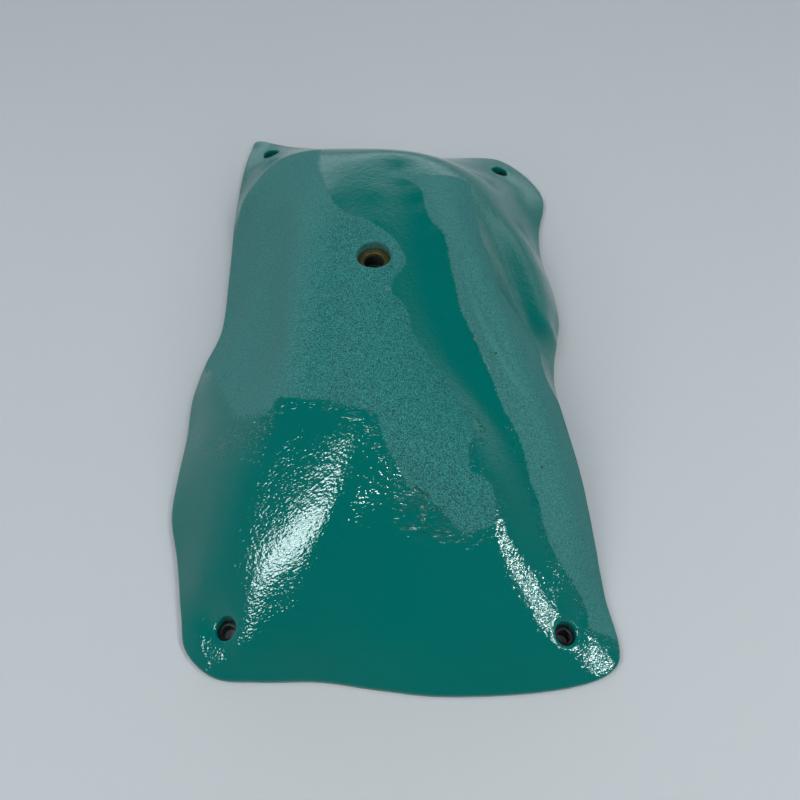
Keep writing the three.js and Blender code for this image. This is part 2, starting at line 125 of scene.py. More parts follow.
# Folds and faces of the drape, as shares of half the width, half the length and the crown height
FOLDS = {
    "crown": [
        (-0.05, 0.56, 0.87), (-0.06, 0.38, 0.95), (-0.06, 0.12, 0.995), (-0.07, -0.10, 0.995),
        (-0.05, -0.30, 0.98),
    ],
    "crown left": [
        (-0.30, 0.45, 0.86), (-0.28, 0.15, 0.91), (-0.28, -0.12, 0.91), (-0.25, -0.32, 0.89),
    ],
    "shoulder": [
        (-0.46, 0.55, 0.70), (-0.475, 0.38, 0.765), (-0.465, 0.21, 0.805), (-0.45, 0.05, 0.83),
        (-0.44, -0.08, 0.85), (-0.45, -0.20, 0.84), (-0.475, -0.31, 0.793), (-0.55, -0.40, 0.685),
        (-0.63, -0.49, 0.573), (-0.70, -0.61, 0.433), (-0.77, -0.74, 0.256),
    ],
    "flank valley": [
        (-0.56, 0.36, 0.60), (-0.55, 0.20, 0.61), (-0.54, 0.05, 0.62), (-0.54, -0.08, 0.64),
        (-0.56, -0.20, 0.66),
    ],
    "left fold": [
        (-0.70, 0.52, 0.42), (-0.65, 0.33, 0.49), (-0.62, 0.12, 0.52), (-0.64, -0.05, 0.51),
    ],
    "left skirt": [(-0.80, -0.10, 0.340), (-0.83, -0.30, 0.320), (-0.86, -0.50, 0.240)],
    "left valley": [
        (-0.20, -0.37, 0.913), (-0.35, -0.45, 0.777), (-0.48, -0.56, 0.629), (-0.58, -0.68, 0.475),
        (-0.65, -0.79, 0.290),
    ],
    "left ridge": [
        (-0.01, -0.41, 0.950), (-0.12, -0.53, 0.809), (-0.22, -0.64, 0.677), (-0.32, -0.73, 0.526),
        (-0.43, -0.80, 0.383), (-0.56, -0.87, 0.244), (-0.67, -0.91, 0.133),
    ],
    "brow": [(0.07, -0.47, 0.901), (0.18, -0.54, 0.807), (0.30, -0.60, 0.733)],
    "face middle": [(0.0, -0.60, 0.719), (0.02, -0.75, 0.473), (0.04, -0.885, 0.270)],
    "face left": [(-0.24, -0.81, 0.398), (-0.32, -0.90, 0.225)],
    "face right": [(0.30, -0.79, 0.419), (0.36, -0.89, 0.254), (0.60, -0.92, 0.189)],
    "right ridge": [
        (0.33, -0.42, 0.862), (0.41, -0.51, 0.789), (0.485, -0.61, 0.669), (0.55, -0.70, 0.516),
        (0.65, -0.785, 0.356), (0.76, -0.85, 0.232), (0.86, -0.90, 0.128),
    ],
    "groove": [
        (0.10, 0.42, 0.91), (0.22, 0.25, 0.94), (0.32, 0.05, 0.900), (0.40, -0.13, 0.830),
        (0.50, -0.29, 0.736), (0.60, -0.45, 0.610), (0.68, -0.60, 0.462), (0.76, -0.72, 0.334),
        (0.83, -0.80, 0.193),
    ],
    "long fold": [
        (0.06, 0.50, 0.88), (0.20, 0.39, 0.96), (0.30, 0.25, 0.99), (0.415, 0.08, 0.980),
        (0.49, -0.09, 0.929), (0.58, -0.22, 0.839), (0.685, -0.32, 0.700), (0.76, -0.43, 0.550),
        (0.83, -0.58, 0.370), (0.885, -0.72, 0.202),
    ],
    "side hollow": [
        (0.42, 0.40, 0.82), (0.52, 0.28, 0.70), (0.60, 0.14, 0.57), (0.68, 0.02, 0.45),
        (0.76, -0.10, 0.34),
    ],
    "far crest": [
        (-0.81, 0.60, 0.27), (-0.66, 0.71, 0.42), (-0.46, 0.70, 0.60), (-0.22, 0.63, 0.77),
        (0.02, 0.60, 0.83), (0.27, 0.58, 0.80), (0.48, 0.55, 0.66), (0.64, 0.47, 0.48),
        (0.76, 0.36, 0.36), (0.83, 0.20, 0.28), (0.84, 0.06, 0.24),
    ],
    "far face": [
        (-0.40, 0.80, 0.38), (-0.10, 0.77, 0.44), (0.20, 0.745, 0.44), (0.44, 0.70, 0.40),
    ],
    "far foot": [(-0.40, 0.895, 0.18), (0.0, 0.875, 0.18), (0.36, 0.855, 0.16)],
    "high left pad": [(-0.78, 0.78, 0.18), (-0.70, 0.885, 0.17)],
    "high right pad": [(0.645, 0.795, 0.17), (0.76, 0.66, 0.19)],
    "low left pad": [(-0.66, -0.845, 0.201), (-0.74, -0.82, 0.151)],
    "left flat": [
        (-0.13, -0.45, 0.885), (-0.245, -0.55, 0.755), (-0.35, -0.65, 0.626),
        (-0.455, -0.745, 0.461), (-0.55, -0.82, 0.318),
    ],
    "low left foot": [
        (-0.62, -0.775, 0.333), (-0.595, -0.9, 0.188), (-0.7, -0.885, 0.141),
        (-0.78, -0.86, 0.118),
    ],
    "low right foot": [
        (0.66, -0.72, 0.409), (0.7, -0.83, 0.280), (0.8, -0.885, 0.181), (0.88, -0.83, 0.161),
    ],
}
FOLD_STEPS = 2

# Outlines of the two stippled grip areas on the face, in millimetres
GRIP_AREAS = {
    "crown and left flank": [
        (-44, 131), (-43, 111), (-39, 94), (-36, 80), (-32, 70), (-27, 62), (-21, 56), (-13, 51),
        (-7, 46), (0, 41), (5, 35), (10, 26), (10, 19), (5, 10), (3, 4), (3, -2), (8, -6),
        (12, -13), (14, -24), (18, -31), (24, -40), (31, -49), (36, -58), (41, -65), (44, -73),
        (45, -81), (41, -90), (42, -101), (48, -103), (52, -106), (54, -113), (54, -120),
        (52, -124), (45, -127), (40, -128), (35, -125), (30, -121), (24, -115), (20, -111),
        (10, -106), (7, -99), (2, -92), (-2, -82), (-4, -75), (-13, -72), (-23, -68), (-31, -64),
        (-48, -61), (-55, -59), (-59, -64), (-67, -65), (-81, -59), (-84, -50), (-96, -31),
        (-105, -14), (-112, -2), (-110, 40), (-108, 80), (-104, 106), (-94, 124), (-84, 134),
        (-70, 139), (-56, 137),
    ],
    "right fold": [
        (5, 95), (22, 87), (31, 88), (44, 92), (49, 90), (52, 74), (53, 62), (54, 48), (59, 38),
        (62, 28), (62, 14), (69, 8), (79, 6), (87, 2), (90, -7), (90, -24), (95, -29), (110, -31),
        (114, -60), (118, -110), (123, -150), (124, -168), (111, -166), (103, -164), (103, -157),
        (100, -150), (94, -143), (87, -134), (83, -126), (80, -117), (78, -106), (74, -97),
        (72, -86), (69, -77), (65, -68), (61, -61), (58, -52), (55, -43), (51, -34), (48, -25),
        (43.5, -14.5), (40, -5), (38.5, 5), (36, 17), (34, 32), (31, 43), (26, 51), (22, 62),
        (20, 75), (12, 86), (1, 90),
    ],
}

# The crease down the right fold, in millimetres, along which a pale sheen is painted
CREASE_SHEEN_LINE = [(42, 19.5), (45.4, 2.2), (49.3, -11.5), (53.6, -23.3), (58.5, -33.6), (63.9, -44.2),
          (69.4, -51.8), (74.5, -57)]


# Curves

def curve_through(knots, steps, closed):
    """Points along a smooth curve through the knots, a number of steps from each to the next."""
    knots = np.asarray(knots, float)
    if closed:
        before, after = knots[-1:], knots[:2]
        spans = len(knots)
    else:
        before, after = 2 * knots[:1] - knots[1:2], 2 * knots[-1:] - knots[-2:-1]
        spans = len(knots) - 1
    ring = np.vstack([before, knots, after])
    share = (np.arange(steps) / steps)[:, None]
    points = []
    for k in range(spans):
        a, b, c, d = ring[k:k + 4]
        points.append(0.5 * (
            2 * b + (c - a) * share + (2 * a - 5 * b + 4 * c - d) * share ** 2
            + (3 * b - a - 3 * c + d) * share ** 3
        ))
    return np.vstack(points if closed else [*points, knots[-1:]])


outline_shares = curve_through(OUTLINE, CURVE_STEPS, True)
extent = outline_shares[::EXTENT_STEPS]
outline_middle = (extent.min(0) + extent.max(0)) / 2
outline_span = extent.max(0) - extent.min(0)


def place_of(shares):
    """Places on the wall plane, from shares of half the width and half the length."""
    return (np.asarray(shares) - outline_middle) / outline_span * [BODY_WIDTH, BODY_LENGTH]


foot_outline = place_of(outline_shares)


def drawn_in(loop, distance):
    """A clockwise loop drawn in by a distance."""
    along = np.roll(loop, -1, 0) - np.roll(loop, 1, 0)
    along /= np.linalg.norm(along, axis=1)[:, None]
    return loop + np.stack([along[:, 1], -along[:, 0]], 1) * distance


# The drape: a thin plate bent through the folds and the rim

def plate_kernel(squared):
    return squared * np.log(np.where(squared > 0, squared, 1))


class Drape:
    """Height and slope of the hold's face over the wall plane."""

    def __init__(self, folds, rim):
        held = np.vstack([curve_through(points, FOLD_STEPS, False) for points in folds.values()])
        knots = np.vstack([place_of(held[:, :2]), rim]) / BODY_LENGTH
        heights = np.r_[held[:, 2], np.full(len(rim), RIM_HEIGHT / CROWN_HEIGHT)]
        count = len(knots)
        squared = ((knots[:, None] - knots[None]) ** 2).sum(2)
        system = np.zeros((count + 3, count + 3))
        system[:count, :count] = plate_kernel(squared) + EASE * np.eye(count)
        system[:count, count] = system[count, :count] = 1
        system[:count, count + 1:] = knots
        system[count + 1:, :count] = knots.T
        weights = np.linalg.solve(system, np.r_[heights, np.zeros(3)])
        self.knots, self.weights, self.plane = knots, weights[:count], weights[count:]

    def read(self, places):
        """Height, and the slope across and along, at each place."""
        flat = np.asarray(places).reshape(-1, 2) / BODY_LENGTH
        answer = np.empty((len(flat), 3))
        for start in range(0, len(flat), ROWS_AT_ONCE):
            part = flat[start:start + ROWS_AT_ONCE]
            away = part[:, None] - self.knots[None]
            squared = (away ** 2).sum(2)
            turn = 2 * self.weights * (np.log(np.where(squared > 0, squared, 1)) + 1)
            rows = answer[start:start + ROWS_AT_ONCE]
            rows[:, 0] = plate_kernel(squared) @ self.weights
            rows[:, 0] += self.plane[0] + part @ self.plane[1:]
            rows[:, 1:] = (turn[:, :, None] * away).sum(1) + self.plane[1:]
        answer *= CROWN_HEIGHT
        answer[:, 1:] /= BODY_LENGTH
        return answer

    def outer(self, places):
        return self.read(places)[:, 0]

    def inner(self, places):
        """Height of the inside of the wall, measured square to the face."""
        height, across, along = self.read(places).T
        return np.maximum(height - WALL * np.sqrt(1 + across ** 2 + along ** 2), RIM_CHAMFER)


drape = Drape(FOLDS, foot_outline[::RIM_KNOT_STEPS])


# Grids of places that fill a loop

def even_points(line, cells):
    lengths = np.r_[0, np.cumsum(np.linalg.norm(np.diff(line, axis=0), axis=1))]
    wanted = np.linspace(0, lengths[-1], cells + 1)
    return np.stack([np.interp(wanted, lengths, line[:, axis]) for axis in (0, 1)], 1)


def grid_in(loop, across, along):
    """Rows of places from the low edge to the high one, each from left to right."""
    ring = np.vstack([loop, loop])
    marks = [corner * CURVE_STEPS for corner in OUTLINE_CORNERS]
    marks.append(marks[0] + len(loop))
    high, right, low, left = (ring[marks[k]:marks[k + 1] + 1] for k in range(4))
    high, right = even_points(high, across), even_points(right, along)[::-1]
    low, left = even_points(low, across)[::-1], even_points(left, along)
    u = np.linspace(0, 1, across + 1)[None, :, None]
    v = np.linspace(0, 1, along + 1)[:, None, None]
    sides = (1 - u) * left[:, None] + u * right[:, None] + (1 - v) * low[None] + v * high[None]
    low_pair = (1 - u) * low[0] + u * low[-1]
    high_pair = (1 - u) * high[0] + u * high[-1]
    return sides - (1 - v) * low_pair - v * high_pair


def border(block):
    """The ids or places round a block of a grid, counter-clockwise from its low left corner."""
    return np.concatenate([block[0, :-1], block[:-1, -1], block[-1, :0:-1], block[:0:-1, 0]])


def border_shares(rows, columns):
    """How far round a block each of its border points lies, a whole number at each corner."""
    across, along = np.arange(columns - 1) / (columns - 1), np.arange(rows - 1) / (rows - 1)
    return np.r_[across, 1 + along, 2 + across, 3 + along] / 4


def inside_depth(places, outline):
    """How far inside an outline each place lies, negative outside it."""
    nearest = np.full(len(places), np.inf)
    inside = np.zeros(len(places), bool)
    for start, end in zip(outline, np.roll(outline, -1, 0)):
        edge, away = end - start, places - start
        share = np.clip(away @ edge / (edge @ edge), 0, 1)
        nearest = np.minimum(nearest, np.linalg.norm(away - share[:, None] * edge, axis=1))
        if start[1] != end[1]:
            crossing = start[0] + (places[:, 1] - start[1]) * edge[0] / edge[1]
            low, high = sorted((start[1], end[1]))
            beside = (places[:, 1] > low) & (places[:, 1] <= high)
            inside ^= beside & (places[:, 0] < crossing)
    return np.where(inside, nearest, -nearest)


def grip_depth(places):
    """How far inside the grip areas each place lies."""
    depths = []
    for outline in GRIP_AREAS.values():
        smooth = curve_through(np.array(outline) * MM, 3, True)
        depths.append(inside_depth(places, smooth))
    return np.max(depths, axis=0)


# Meshes

def turn_outward(mesh, smooth_angle):
    """Turns all the faces outward, and shades them smooth up to an angle in degrees."""
    shape = bmesh.new()
    shape.from_mesh(mesh)
    bmesh.ops.recalc_face_normals(shape, faces=shape.faces)
    shape.to_mesh(mesh)
    shape.free()
    mesh.shade_smooth()
    mesh.set_sharp_from_angle(angle=math.radians(smooth_angle))


class Skin:
    """Points and faces of one piece, gathered ring by ring."""

    def __init__(self):
        self.points, self.faces, self.finishes, self.marks = [], [], [], {}
        self.count = 0

    def add(self, points, **marks):
        """Adds points and gives their ids, in the same arrangement."""
        points = np.asarray(points, float)
        flat = points.reshape(-1, 3)
        ids = np.arange(self.count, self.count + len(flat))
        self.points.append(flat)
        self.count += len(flat)
        for name, values in marks.items():
            self.marks.setdefault(name, []).append((ids, np.broadcast_to(values, len(flat))))
        return ids.reshape(points.shape[:-1])

    def face(self, corners, finish=0):
        corners = np.asarray(corners).reshape(-1, np.shape(corners)[-1])
        self.faces.extend(corners.tolist())
        self.finishes.extend([finish] * len(corners))

    def sheet(self, ids, finish=0, keep=None):
        """Four-cornered faces over a grid of ids."""
        quads = np.stack([ids[:-1, :-1], ids[:-1, 1:], ids[1:, 1:], ids[1:, :-1]], -1)
        self.face(quads.reshape(-1, 4) if keep is None else quads[keep], finish)

    def band(self, rings, finish=0):
        """Faces between rings of the same count, each closed on itself."""
        rings = np.asarray(rings)
        self.sheet(np.hstack([rings, rings[:, :1]]), finish)

    def join(self, ring, shares, other, other_shares, finish=0):
        """Faces between two rings of different counts, matched by their shares of a turn."""
        start = int(np.argmin(np.abs((other_shares - shares[0] + 0.5) % 1 - 0.5)))
        other, other_shares = np.roll(other, -start), np.roll(other_shares, -start)
        here = np.unwrap(np.r_[shares, shares[0] + 1], period=1)
        there = np.unwrap(np.r_[other_shares, other_shares[0] + 1], period=1)
        there += round(here[0] - there[0])
        i = j = 0
        while i < len(ring) or j < len(other):
            a, b = ring[i % len(ring)], other[j % len(other)]
            if j == len(other) or (i < len(ring) and here[i + 1] <= there[j + 1]):
                i += 1
                self.face([(a, b, ring[i % len(ring)])], finish)
            else:
                j += 1
                self.face([(a, b, other[j % len(other)])], finish)

    def piece(self, name, finishes, smooth_angle=35):
        points = np.vstack(self.points)
        used = np.zeros(len(points), bool)
        for face in self.faces:
            used[face] = True
        renumber = np.cumsum(used) - 1
        mesh = bpy.data.meshes.new(name)
        faces = [renumber[face].tolist() for face in self.faces]
        mesh.from_pydata(points[used].tolist(), [], faces)
        for finish in finishes:
            mesh.materials.append(finish)
        mesh.polygons.foreach_set("material_index", self.finishes)
        for mark, parts in self.marks.items():
            values = np.zeros(len(points))
            for ids, part in parts:
                values[ids] = part
            layer = mesh.attributes.new(mark, "FLOAT", "POINT")
            layer.data.foreach_set("value", values[used].astype(np.float32))
        turn_outward(mesh, smooth_angle)
        thing = bpy.data.objects.new(name, mesh)
        bpy.context.scene.collection.objects.link(thing)
        return thing


def circle(centre, radius, turns, height):
    """Points round a centre, at shares of a turn."""
    angle = 2 * math.pi * np.asarray(turns)
    across, along = centre[0] + radius * np.cos(angle), centre[1] + radius * np.sin(angle)
    return np.stack([across, along, np.broadcast_to(height, len(angle))], 1)


def rounded(start, corner, end, steps):
    """Points on a rounded corner between two ends, without the first."""
    share = (np.arange(1, steps + 1) / steps)[:, None, None]
    return (1 - share) ** 2 * start + 2 * share * (1 - share) * corner + share ** 2 * end


# Shader sums

class Wire:
    """A shader socket that takes part in sums."""

    def __init__(self, finish, socket):
        self.finish, self.socket = finish, socket

    def __add__(self, other):
        return self.finish.sum_of("ADD", self, other)

    def __sub__(self, other):
        return self.finish.sum_of("SUBTRACT", self, other)

    def __mul__(self, other):
        return self.finish.sum_of("MULTIPLY", self, other)

    def __rsub__(self, other):
        return self.finish.sum_of("SUBTRACT", other, self)

    __radd__ = __add__
    __rmul__ = __mul__

    def step(self, low, high):
        """0 below the low value, 1 above the high one, and a soft step between."""
        return self.finish.node(
            "ShaderNodeMapRange", {"interpolation_type": "SMOOTHSTEP"},
            {"Value": self, "From Min": low, "From Max": high},
        )


class Finish:
    """A material, its nodes made by one method."""

    def __init__(self, name, world=None):
        self.material = world or bpy.data.materials.new(name)
        self.material.use_nodes = True
        self.tree = self.material.node_tree
        self.shader = self.tree.nodes["Background" if world else "Principled BSDF"]
        self.place = self.node("ShaderNodeTexCoord", output="Generated" if world else "Object")

    def node(self, kind, settings=None, values=(), output=0):
        """Makes a node, sets its settings and then its sockets, and gives one of its outputs."""
        node = self.tree.nodes.new(kind)
        for name, value in (settings or {}).items():
            setattr(node, name, value)
        pairs = values.items() if isinstance(values, dict) else enumerate(values)
        for name, value in pairs:
            self.feed(node.inputs[name], value)
        return Wire(self, node.outputs[output])

    def feed(self, socket, value):
        if isinstance(value, Wire):
            self.tree.links.new(value.socket, socket)
        else:
            socket.default_value = value

    def sum_of(self, operation, first, second):
        return self.node("ShaderNodeMath", {"operation": operation}, [first, second])

    def mix(self, share, low, high):
        """A colour between two, by a share."""
        node = self.tree.nodes.new("ShaderNodeMix")
        node.data_type = "RGBA"
        self.feed(node.inputs["Factor"], share)
        colors = [socket for socket in node.inputs if socket.type == "RGBA"]
        self.feed(colors[0], low)
        self.feed(colors[1], high)
        return Wire(self, next(socket for socket in node.outputs if socket.type == "RGBA"))

    def noise(self, scale, detail=2, place=None):
        return self.node("ShaderNodeTexNoise", {}, {
            "Vector": place or self.place, "Scale": scale, "Detail": detail,
        })

    def stretched(self, length, turn):
        """Object places on which a pattern runs longer by a factor, at an angle about +Z."""
        return self.node("ShaderNodeMapping", {"vector_type": "TEXTURE"}, {
            "Vector": self.place, "Rotation": (0, 0, math.radians(turn)), "Scale": (length, 1, 1),
        })

    def parts(self, vector):
        """The three parts of a vector."""
        first = self.node("ShaderNodeSeparateXYZ", {}, [vector])
        return [Wire(self, socket) for socket in first.socket.node.outputs]

    def mark(self, name):
        return self.node("ShaderNodeAttribute", {"attribute_name": name}, output="Fac")

    def near(self, place, radius):
        """A ragged spot: 1 near a place, 0 away from it, both in millimetres."""
        distance = self.node(
            "ShaderNodeVectorMath", {"operation": "DISTANCE"},
            [self.place, Vector(place) * MM], "Value",
        )
        ragged = distance + self.noise(1800, 1) * MM - 0.5 * MM
        return ragged.step(radius * 1.25 * MM, radius * 0.6 * MM)

    def bump(self, height, distance, **under):
        """Relief of a height times a distance, on top of another relief if one is given."""
        return self.node("ShaderNodeBump", {}, {
            "Height": height, "Distance": distance, "Strength": 1, **under,
        })

    def set(self, **sockets):
        """Sets the shader's sockets and gives the material."""
        for name, value in sockets.items():
            self.feed(self.shader.inputs[name.replace("_", " ")], value)
        return self.material


# Chips, pits and a scuff in the gelcoat, the pits dark with painted shade: place and radius in
# millimetres, strength and colour
PIT_SHADE = (0.0, 0.030, 0.028, 1)
BLEMISHES = [
    ((47.5, -24.4, 66.6), 0.8, 0.9, (0.17, 0.11, 0.05, 1)),
    ((58, -34.4, 68.2), 0.7, 1, (0.012, 0.030, 0.050, 1)),
    ((1.1, 0, 78.3), 1.5, 0.35, (0.17, 0.17, 0.20, 1)),
    ((-93.1, -25.5, 30.9), 0.6, 0.9, PIT_SHADE),
    ((-80.9, -41.5, 42.2), 0.6, 0.9, PIT_SHADE),
    ((-83.7, -44.3, 40.5), 0.5, 0.9, PIT_SHADE),
    ((80.4, -90.3, 46.9), 0.7, 0.9, PIT_SHADE),
]

# A rippled patch on the gloss below the grip, its middle and its reach in millimetres: a guess, put
# in for the glints that show there
RIPPLED_PATCH = (23, -117, 58)
RIPPLED_REACH = 17

# The colour down a hole, where each part begins and ends on the depth mark, and its tint: painted
# shade darkening the wall to dark olive, an olive-amber ring at the seat, and near-black painted
# shade in the bore
HOLE_SHADE_AND_TINT = [
    (0.35, 0.90, (0.022, 0.036, 0.016, 1)),
    (0.85, 1.0, (0.10, 0.080, 0.016, 1)),
    (1.2, 1.8, (0.002, 0.003, 0.003, 1)),
]


def gelcoat():
    """Teal gelcoat: gloss with an orange peel, a sandy grip over the grip areas, and a spatter of
    grip on the gloss beside them."""
    finish = Finish("teal gelcoat")
    coarse, depth = finish.mark("coarse"), finish.mark("depth")

    # The grip, its border frayed by the width of a few grains
    outline = finish.mark("grip")
    edge = finish.noise(300, 3) * 1.8 - 0.9
    grit = finish.noise(1500, 1) * 3.6 - 1.8
    grip = (outline + edge + grit).step(-0.4, 0.4)

    # Colour: grains of sand in the grip, with painted shade in their pits and a painted sheen on
    # them, then a painted sheen on the crease, the blemishes, and painted shade down the holes
    sand = finish.noise(2000, 1)
    clump = finish.noise(800, 2)
    speck = (sand * 0.8 + clump * 0.2).step(0.40, 0.60)
    cloud = finish.noise(18, 2)
    gloss_teal = finish.mix(cloud, (0.0, 0.120, 0.104, 1), (0.0, 0.134, 0.116, 1))
    # The pits' dark teal is painted shade and the grains' whitish teal a painted sheen; both grow
    # with the mark read above
    pit_shade_teal = finish.mix(coarse, (0.024, 0.138, 0.131, 1), (0.0, 0.057, 0.054, 1))
    sand_and_sheen_teal = finish.mix(coarse, (0.045, 0.205, 0.194, 1), (0.022, 0.238, 0.222, 1))
    grip_teal = finish.mix(speck, pit_shade_teal, sand_and_sheen_teal)
    # A painted pale sheen along the crease of the right fold
    grip_teal = finish.mix(finish.mark("crease") * 0.4, grip_teal, (0.060, 0.330, 0.315, 1))
    color = finish.mix(grip, gloss_teal, grip_teal)
    for place, radius, share, tint in BLEMISHES:
        color = finish.mix(finish.near(place, radius) * share, color, tint)
    # Painted shade down each hole's wall and in its bore, and the ring at its seat
    for start, end, tint in HOLE_SHADE_AND_TINT:
        color = finish.mix(depth.step(start, end), color, tint)

    # Relief: beads of stray grip, ripples, orange peel and waves on the gloss, sand on the grip
    beads = (finish.noise(650, 1, finish.stretched(2.2, 0)) + outline * 0.010).step(0.50, 0.66)
    low_half = finish.parts(finish.place)[1].step(-60 * MM, -75 * MM)
    patch = finish.near(RIPPLED_PATCH, RIPPLED_REACH)
    ripples = finish.noise(430, 1, finish.stretched(4, 0)).step(0.44, 0.60)
    spatter = (beads * outline.step(-7.9, -3) * low_half + ripples * patch * 1.8) * (1 - grip)
    peel = finish.noise(880, 1, finish.stretched(1.8, 28))
    wave = finish.noise(260, 1)
    gloss_bump = finish.bump(peel + wave + spatter * 3, 0.165 * MM)
    grip_bump = finish.bump(sand * 0.8 + clump * 0.6, grip * 0.45 * MM, Normal=gloss_bump)
    return finish.set(
        Base_Color=color,
        Roughness=0.05 + grip * 0.80,
        Normal=grip_bump,
        IOR=1.37,
    )


def glass_mat():
    """The inside of the laminate: resin over chopped glass strands, tinted by the gelcoat."""
    finish = Finish("glass mat and resin")
    strands = finish.noise(260, 4, finish.stretched(9, 35))
    crossing = finish.noise(260, 4, finish.stretched(9, -50))
    weave = strands.step(0.50, 0.62) * 0.5 + crossing.step(0.50, 0.62) * 0.5
    cloud = finish.noise(30, 3)
    resin = finish.mix(cloud, (0.045, 0.16, 0.115, 1), (0.085, 0.22, 0.15, 1))
    color = finish.mix(weave * 0.7, resin, (0.30, 0.40, 0.29, 1))
    return finish.set(
        Base_Color=color,
        Roughness=0.34 + weave * 0.25,
        Normal=finish.bump(weave + cloud * 0.6, 0.25 * MM),
    )


def cast_resin():
    """Filled casting resin, matt and faintly mottled, with small air holes."""
    finish = Finish("cast resin")
    cloud = finish.noise(60, 4)
    holes = finish.node(
        "ShaderNodeTexVoronoi", {"feature": "F1"}, {"Vector": finish.place, "Scale": 320},
    ).step(0.16, 0.10)
    color = finish.mix(cloud, (0.36, 0.25, 0.12, 1), (0.46, 0.35, 0.19, 1))
    # Painted shade: the air holes are darkened.
    color = finish.mix(holes * 0.7, color, (0.10, 0.07, 0.03, 1))
    # Painted shade, near black, down the bore.
    color = finish.mix(finish.mark("bored"), color, (0.010, 0.008, 0.005, 1))
    return finish.set(
        Base_Color=color,
        Roughness=0.55 + cloud * 0.2,
        Normal=finish.bump(cloud * 0.5 - holes, 0.3 * MM),
    )


def zinc(name, light, dark):
    """Zinc-plated steel, turned and slightly dulled."""
    finish = Finish(name)
    cloud = finish.noise(500, 3)
    return finish.set(
        Base_Color=finish.mix(cloud, dark, light),
        Metallic=0.6,
        Roughness=0.40 + cloud * 0.25,
        Normal=finish.bump(cloud, 0.03 * MM),
    )


teal = gelcoat()
laminate = glass_mat()
resin = cast_resin()
# Both washers are coloured far darker than plated steel: painted shade for the holes they sit in.
yellow_zinc = zinc("yellow zinc", (0.13, 0.105, 0.030, 1), (0.05, 0.042, 0.014, 1))
grey_zinc = zinc("grey zinc", (0.034, 0.028, 0.032, 1), (0.012, 0.012, 0.014, 1))


# The shell

def node_middle(name):
    low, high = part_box(name)
    return np.array([(low.x + high.x) / 2, (low.y + high.y) / 2])


def open_round_hole(skin, ids, places, centre, radius, margin, surface, finish, **marks):
    """Redraws the block of cells round a hole as rays from the hole's edge, and gives the ring of
    ids at that edge, their shares of a turn and the block."""
    nearest = np.linalg.norm(places - centre, axis=2).argmin()
    row, column = np.unravel_index(nearest, ids.shape)
    cell = np.linalg.norm(places[row, column + 1] - places[row, column])
    reach = math.ceil(radius / cell + margin)
    rows, columns = slice(row - reach, row + reach + 1), slice(column - reach, column + reach + 1)
    outer_ids = border(ids[rows, columns])
    outer_places = border(places[rows, columns])
    away = outer_places - centre
    turns = np.arctan2(away[:, 1], away[:, 0]) / (2 * math.pi)
    edge = circle(centre, radius, turns, 0)[:, :2]
    rings = []
    for share in np.linspace(0, 1, math.ceil(margin) + 1)[:-1] ** RAY_EASE:
        ring = edge + (outer_places - edge) * share
        values = {name: mark(ring) for name, mark in marks.items()}
        rings.append(skin.add(np.c_[ring, surface(ring)], **values))
    skin.band([*rings, outer_ids], finish)
    block = slice(rows.start, rows.stop - 1), slice(columns.start, columns.stop - 1)
    return rings[0], turns, block


def grip_millimetres(places):
    """Distance into the grip in millimetres, fading out slowly at the foot of the left flank and
    at the high end."""
    across, along = (np.asarray(places) / MM).T
    fade = np.clip((-50 - across) / 12, 0, 1) * np.clip((10 - along) / 30, 0, 1)
    fade = np.maximum(fade, np.clip((along - 85) / 15, 0, 1) * 0.8)
    return np.clip(grip_depth(places) / MM * (1 - 0.75 * fade), -GRIP_LIMIT, GRIP_LIMIT)


def crease_sheen_share(places):
    """Painted sheen: 1 on the crease of the right fold, falling to 0 within a few millimetres."""
    line = curve_through(CREASE_SHEEN_LINE, 8, False) * MM
    away = np.linalg.norm(np.asarray(places)[:, None] - line[None], axis=2)
    ends = np.sin(np.linspace(0, math.pi, len(line))) ** 0.5
    return ends[away.argmin(1)] * np.exp(-(away.min(1) / (1.0 * MM)) ** 2)


def grain_shading_strength(places):
    """Painted grain shade and sheen: full down the middle of the crown, faint on the flanks."""
    across, along = (np.asarray(places) / MM).T
    left = np.clip((across + 58 - 0.10 * along) / 26, 0, 1)
    right = np.clip((62 - 0.45 * (along + 60) - across) / 26, 0, 1)
    high = np.clip((105 - along) / 60, 0, 1)
    fold = np.clip((across - 38) / 4, 0, 1) * 0.35
    return np.maximum(left * right * high, np.maximum(fold, 0.15))


